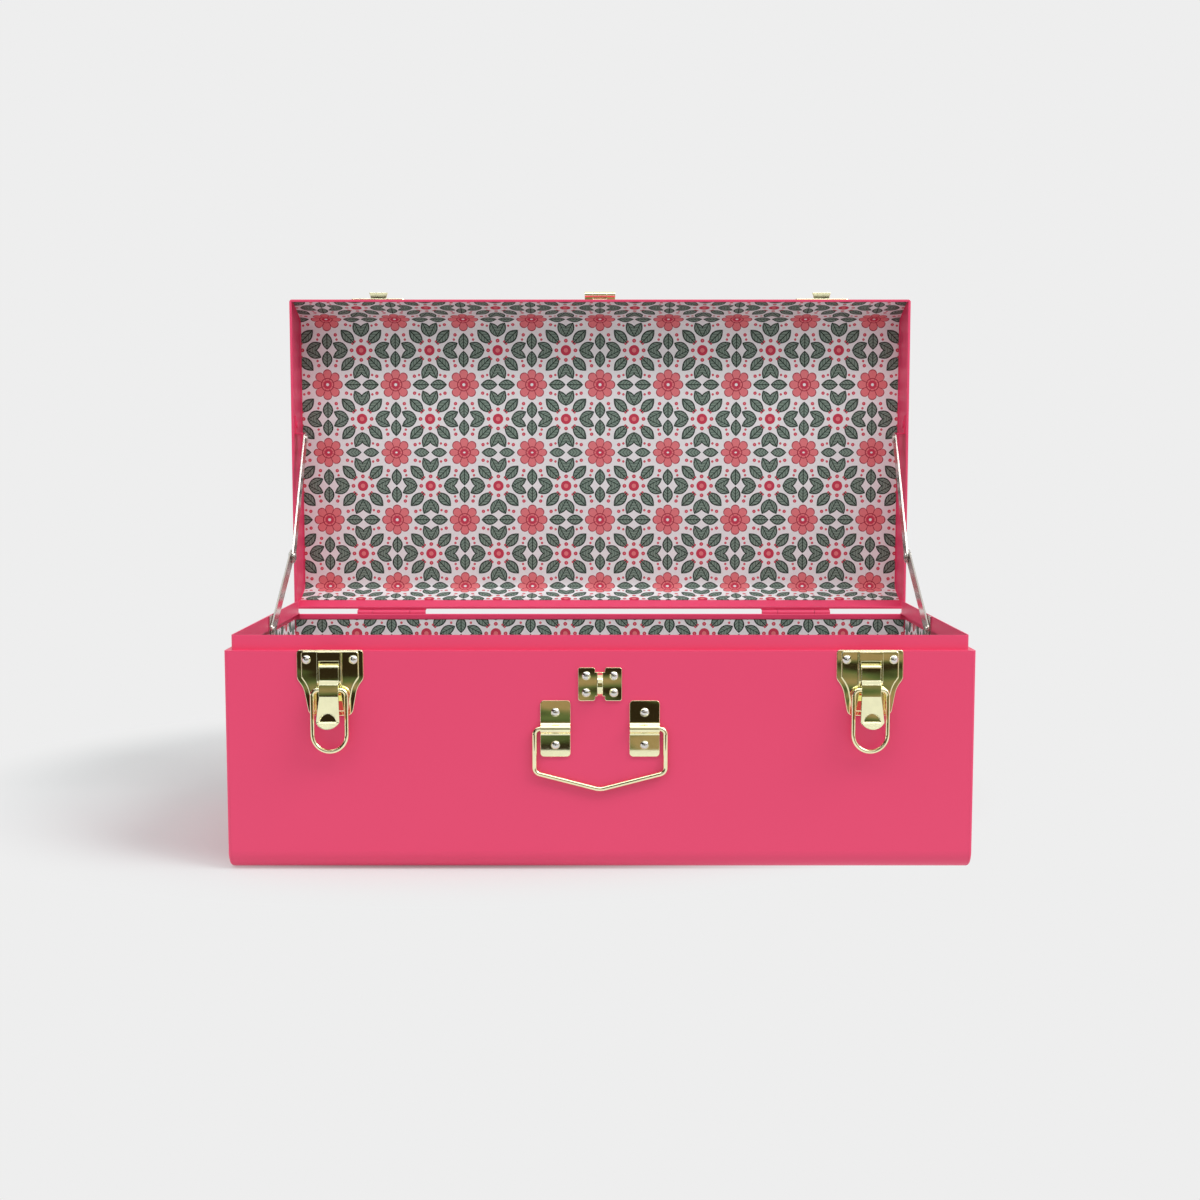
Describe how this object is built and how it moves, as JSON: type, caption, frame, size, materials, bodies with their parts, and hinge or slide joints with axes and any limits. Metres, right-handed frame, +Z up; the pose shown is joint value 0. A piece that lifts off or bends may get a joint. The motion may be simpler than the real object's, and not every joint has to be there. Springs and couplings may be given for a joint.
{
  "type": "storage trunk",
  "caption": "Sheet-steel storage trunk with a hinged lid on folding stays, draw latches, a hasp with padlock eye, a drop handle and a printed card lining.",
  "frame": {"origin": "on the floor under the middle of the body", "axes": "+X along the front towards the viewer's right, +Y to the hinges, +Z up"},
  "size_m": [0.6, 0.3769, 0.4891],
  "materials": {
    "pink_enamel": "semi-gloss powder coat",
    "brass_plate": "polished brass plate",
    "rivet_steel": "polished rivet heads",
    "stay_nickel": "nickel plate",
    "printed_card": "matt printed card"
  },
  "bodies": {
    "trunk_body": {"body_wrap": "pink_enamel", "body_end_left": "pink_enamel", "body_end_right": "pink_enamel", "hinge_body_leaf_left": "pink_enamel", "hinge_body_leaf_right": "pink_enamel", "hinge_pin_left": "pink_enamel", "hinge_pin_right": "pink_enamel", "body_lining_wrap": "printed_card", "body_lining_left": "printed_card", "body_lining_right": "printed_card", "staple_plate": "brass_plate", "latch_plate_left": "brass_plate", "latch_plate_right": "brass_plate", "latch_pin_left": "brass_plate", "latch_pin_right": "brass_plate", "handle_bracket_left": "brass_plate", "handle_bracket_right": "brass_plate", "latch_rivets": "rivet_steel", "staple_rivets": "rivet_steel", "handle_rivets": "rivet_steel", "stay_anchor_rivets": "rivet_steel", "hinge_body_rivets": "pink_enamel", "stay_body_pins": "stay_nickel", "stay_anchor_left": "stay_nickel", "stay_anchor_right": "stay_nickel"},
    "lid": {"lid_wrap": "pink_enamel", "lid_end_left": "pink_enamel", "lid_end_right": "pink_enamel", "lid_lining": "printed_card", "hinge_lid_leaf_left": "pink_enamel", "hinge_lid_leaf_right": "pink_enamel", "hinge_lid_rivets": "pink_enamel", "keeper_left": "brass_plate", "keeper_right": "brass_plate", "keeper_rivets": "rivet_steel", "hasp_leaf": "brass_plate", "hasp_pin": "brass_plate", "hasp_rivets": "rivet_steel", "stay_bracket_left": "pink_enamel", "stay_bracket_right": "pink_enamel", "stay_bracket_rivets": "pink_enamel", "stay_lid_pins": "stay_nickel"},
    "latch_lever_left": {"latch_lever_left": "brass_plate"},
    "latch_lever_right": {"latch_lever_right": "brass_plate"},
    "latch_bail_left": {"latch_bail_left": "brass_plate"},
    "latch_bail_right": {"latch_bail_right": "brass_plate"},
    "carry_handle": {"carry_handle": "brass_plate"},
    "hasp_flap": {"hasp_flap": "brass_plate"},
    "stay_lower_left": {"stay_lower_left": "stay_nickel"},
    "stay_lower_right": {"stay_lower_right": "stay_nickel"},
    "stay_upper_left": {"stay_upper_left": "stay_nickel"},
    "stay_upper_right": {"stay_upper_right": "stay_nickel"}
  },
  "joints": [
    {"name": "lid_hinge", "type": "hinge", "parent": "trunk_body", "child": "lid", "pos_m": [0, 0.1538, 0.1775], "axis": [-1, 0, 0], "range_deg": [-90, 0]},
    {"name": "latch_lever_left_turn", "type": "hinge", "parent": "trunk_body", "child": "latch_lever_left", "pos_m": [-0.2153, -0.1553, 0.165], "axis": [-1, 0, 0], "range_deg": [0, 120]},
    {"name": "latch_bail_left_swing", "type": "hinge", "parent": "latch_lever_left", "child": "latch_bail_left", "pos_m": [-0.2153, -0.1576, 0.1476], "axis": [1, 0, 0], "range_deg": [-184.8, 0]},
    {"name": "latch_lever_right_turn", "type": "hinge", "parent": "trunk_body", "child": "latch_lever_right", "pos_m": [0.2153, -0.1553, 0.165], "axis": [-1, 0, 0], "range_deg": [0, 120]},
    {"name": "latch_bail_right_swing", "type": "hinge", "parent": "latch_lever_right", "child": "latch_bail_right", "pos_m": [0.2153, -0.1576, 0.1476], "axis": [1, 0, 0], "range_deg": [-184.8, 0]},
    {"name": "handle_swing", "type": "hinge", "parent": "trunk_body", "child": "carry_handle", "pos_m": [0, -0.15235, 0.1154], "axis": [-1, 0, 0], "range_deg": [0, 120]},
    {"name": "hasp_swing", "type": "hinge", "parent": "lid", "child": "hasp_flap", "pos_m": [0, 0.1606, 0.4865], "axis": [-1, 0, 0], "range_deg": [-199.5, 0]},
    {"name": "stay_lower_left_turn", "type": "hinge", "parent": "trunk_body", "child": "stay_lower_left", "pos_m": [0, 0.006, 0.1774], "axis": [1, 0, 0], "range_deg": [-22.2, 0]},
    {"name": "stay_upper_left_turn", "type": "hinge", "parent": "lid", "child": "stay_upper_left", "pos_m": [0, 0.1721, 0.3475], "axis": [-1, 0, 0], "range_deg": [-33.4, 0]},
    {"name": "stay_lower_right_turn", "type": "hinge", "parent": "trunk_body", "child": "stay_lower_right", "pos_m": [0, 0.006, 0.1774], "axis": [1, 0, 0], "range_deg": [-22.2, 0]},
    {"name": "stay_upper_right_turn", "type": "hinge", "parent": "lid", "child": "stay_upper_right", "pos_m": [0, 0.1721, 0.3475], "axis": [-1, 0, 0], "range_deg": [-33.4, 0]}
  ],
  "couplings": [
    {"joint": "stay_lower_left_turn", "follows": "lid_hinge", "ratio": 0.24506},
    {"joint": "stay_upper_left_turn", "follows": "lid_hinge", "ratio": 0.37007},
    {"joint": "stay_lower_right_turn", "follows": "lid_hinge", "ratio": 0.24506},
    {"joint": "stay_upper_right_turn", "follows": "lid_hinge", "ratio": 0.37007}
  ]
}
